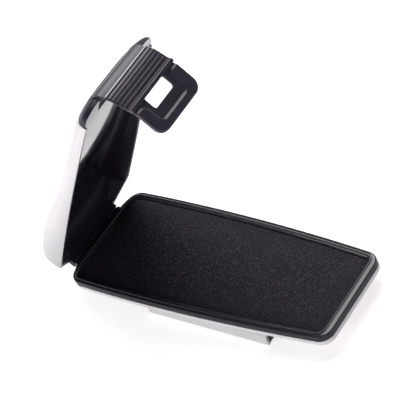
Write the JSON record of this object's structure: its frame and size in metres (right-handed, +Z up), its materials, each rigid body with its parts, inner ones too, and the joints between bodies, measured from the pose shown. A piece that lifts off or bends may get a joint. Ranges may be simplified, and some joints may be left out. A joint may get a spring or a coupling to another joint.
{
  "type": "magnetic key holder box",
  "caption": "Slim clamshell key holder: padded black tray in a silver skin on a magnet, with a domed silver lid on a hinge pin and a black ribbed latch with a pull ring.",
  "frame": {"origin": "centre of the magnet's clinging face, which is the lowest face", "axes": "+X along the base towards its free end, away from the hinge; +Z up through the open lid; +Y across the base"},
  "size_m": [0.0961, 0.0346, 0.0796],
  "materials": {
    "black_plastic": "gloss black moulding",
    "latch_plastic": "semi-gloss black moulding",
    "silver_metal": "satin silver",
    "pad": "fine grained charcoal leatherette",
    "foam": "thin backing foam",
    "channel_steel": "light grey plated steel",
    "ferrite": "matte dark grey ceramic magnet",
    "pin_steel": "plain steel"
  },
  "bodies": {
    "base": {"base_tray": "black_plastic", "base_skin": "silver_metal", "pad_foam": "foam", "pad_cover": "pad", "magnet_channel": "channel_steel", "magnet_block": "ferrite", "magnet_rivets": "pin_steel", "hinge_pin": "pin_steel"},
    "lid": {"lid_shell": "silver_metal", "lid_liner": "black_plastic", "latch_pin": "pin_steel"},
    "latch": {"latch": "latch_plastic"}
  },
  "joints": [
    {"name": "lid_hinge", "type": "hinge", "parent": "base", "child": "lid", "pos_m": [-0.04917, 0, 0.0043], "axis": [0, -1, 0], "range_deg": [-54.3, 40]},
    {"name": "latch_hinge", "type": "hinge", "parent": "lid", "child": "latch", "pos_m": [-0.00218, 0, 0.07689], "axis": [0, -1, 0], "range_deg": [-10, 95]}
  ]
}
